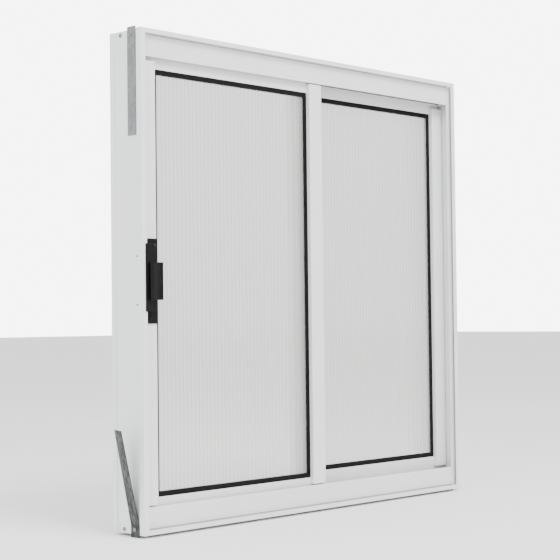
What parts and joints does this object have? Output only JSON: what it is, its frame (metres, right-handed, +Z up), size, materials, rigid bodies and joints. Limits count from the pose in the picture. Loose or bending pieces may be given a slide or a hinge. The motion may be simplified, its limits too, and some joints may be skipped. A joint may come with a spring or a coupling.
{
  "type": "sliding window",
  "caption": "Horizontal sliding window: white aluminium frame, two reeded-glass sashes on rollers, black pull latch and steel wall anchors.",
  "frame": {"origin": "centre of the sill's front seating flange, on its underside, where the window rests in its wall", "axes": "+X along the window to the right seen from the room, +Y from the room to the outside, +Z up"},
  "size_m": [1.0428, 0.1099, 1.011],
  "materials": {
    "powder_coat": "smooth satin powder coat",
    "galvanised": "hot-dip galvanised, faint spangle",
    "reeded_glass": "reeded, obscure",
    "gasket": "matt black",
    "stop_rubber": "matt dark grey",
    "pile": "grey brush pile",
    "latch_black": "satin black",
    "black_steel": "black zinc",
    "nylon": "natural nylon",
    "zinc_steel": "bright zinc"
  },
  "bodies": {
    "frame": {"jamb_left": "powder_coat", "jamb_right": "powder_coat", "head": "powder_coat", "sill": "powder_coat", "frame_corner_screws": "zinc_steel", "anchor_screws": "zinc_steel", "anchor_feet": "galvanised", "keeper": "zinc_steel", "keeper_screws": "black_steel", "head_pile": "pile", "sill_pile": "pile", "track_bumpers": "stop_rubber"},
    "front_sash": {"front_bottom_rail": "powder_coat", "front_closing_stile": "powder_coat", "front_gasket": "gasket", "front_glass": "reeded_glass", "front_guide_blocks": "nylon", "front_meeting_stile": "powder_coat", "front_roller_axles": "zinc_steel", "front_roller_housings": "nylon", "front_sash_screws": "zinc_steel", "front_top_rail": "powder_coat", "interlock_pile": "pile", "latch_plate": "latch_black", "latch_shell": "latch_black", "latch_handle_pin": "zinc_steel", "latch_hook_pin": "zinc_steel", "latch_spring": "zinc_steel", "latch_screws": "black_steel"},
    "rear_sash": {"rear_bottom_rail": "powder_coat", "rear_closing_stile": "powder_coat", "rear_gasket": "gasket", "rear_glass": "reeded_glass", "rear_guide_blocks": "nylon", "rear_meeting_stile": "powder_coat", "rear_roller_axles": "zinc_steel", "rear_roller_housings": "nylon", "rear_sash_screws": "zinc_steel", "rear_top_rail": "powder_coat"},
    "pull": {"latch_handle": "latch_black"},
    "hook": {"latch_hook": "zinc_steel"},
    "front_outer_roller": {"front_wheel_outer": "nylon"},
    "front_inner_roller": {"front_wheel_inner": "nylon"},
    "rear_outer_roller": {"rear_wheel_outer": "nylon"},
    "rear_inner_roller": {"rear_wheel_inner": "nylon"},
    "anchor_lower_left": {"anchor_leaf_lower_left": "galvanised"},
    "anchor_lower_right": {"anchor_leaf_lower_right": "galvanised"},
    "anchor_upper_left": {"anchor_leaf_upper_left": "galvanised"},
    "anchor_upper_right": {"anchor_leaf_upper_right": "galvanised"}
  },
  "joints": [
    {"name": "front_slide", "type": "slide", "parent": "frame", "child": "front_sash", "axis": [1, 0, 0], "range_m": [0, 0.45]},
    {"name": "rear_slide", "type": "slide", "parent": "frame", "child": "rear_sash", "axis": [-1, 0, 0], "range_m": [0, 0.45]},
    {"name": "front_outer_spin", "type": "hinge", "parent": "front_sash", "child": "front_outer_roller", "pos_m": [-0.4098, 0.01865, 0.03805], "axis": [0, 1, 0], "continuous": true},
    {"name": "front_inner_spin", "type": "hinge", "parent": "front_sash", "child": "front_inner_roller", "pos_m": [-0.0539, 0.01865, 0.03805], "axis": [0, 1, 0], "continuous": true},
    {"name": "rear_outer_spin", "type": "hinge", "parent": "rear_sash", "child": "rear_outer_roller", "pos_m": [0.4098, 0.04235, 0.03805], "axis": [0, -1, 0], "continuous": true},
    {"name": "rear_inner_spin", "type": "hinge", "parent": "rear_sash", "child": "rear_inner_roller", "pos_m": [0.0539, 0.04235, 0.03805], "axis": [0, -1, 0], "continuous": true},
    {"name": "pull_turn", "type": "hinge", "parent": "front_sash", "child": "pull", "pos_m": [-0.4735, -0.00585, 0.4982], "axis": [0, 0, -1], "range_deg": [0, 15]},
    {"name": "hook_turn", "type": "hinge", "parent": "front_sash", "child": "hook", "pos_m": [-0.474, 0.01085, 0.5], "axis": [0, -1, 0], "range_deg": [0, 90]},
    {"name": "anchor_lower_left_bend", "type": "hinge", "parent": "frame", "child": "anchor_lower_left", "pos_m": [-0.4973, 0.02475, 0.018], "axis": [0, -1, 0], "range_deg": [-9, 77.5]},
    {"name": "anchor_lower_right_bend", "type": "hinge", "parent": "frame", "child": "anchor_lower_right", "pos_m": [0.4973, 0.02475, 0.018], "axis": [0, 1, 0], "range_deg": [0, 90]},
    {"name": "anchor_upper_left_bend", "type": "hinge", "parent": "frame", "child": "anchor_upper_left", "pos_m": [-0.4973, 0.02475, 0.982], "axis": [0, 1, 0], "range_deg": [0, 90]},
    {"name": "anchor_upper_right_bend", "type": "hinge", "parent": "frame", "child": "anchor_upper_right", "pos_m": [0.4973, 0.02475, 0.982], "axis": [0, -1, 0], "range_deg": [0, 90]}
  ],
  "couplings": [
    {"joint": "front_outer_spin", "follows": "front_slide", "rad_per_m": 125},
    {"joint": "front_inner_spin", "follows": "front_slide", "rad_per_m": 125},
    {"joint": "rear_outer_spin", "follows": "rear_slide", "rad_per_m": 125},
    {"joint": "rear_inner_spin", "follows": "rear_slide", "rad_per_m": 125},
    {"joint": "hook_turn", "follows": "pull_turn", "ratio": 6}
  ]
}
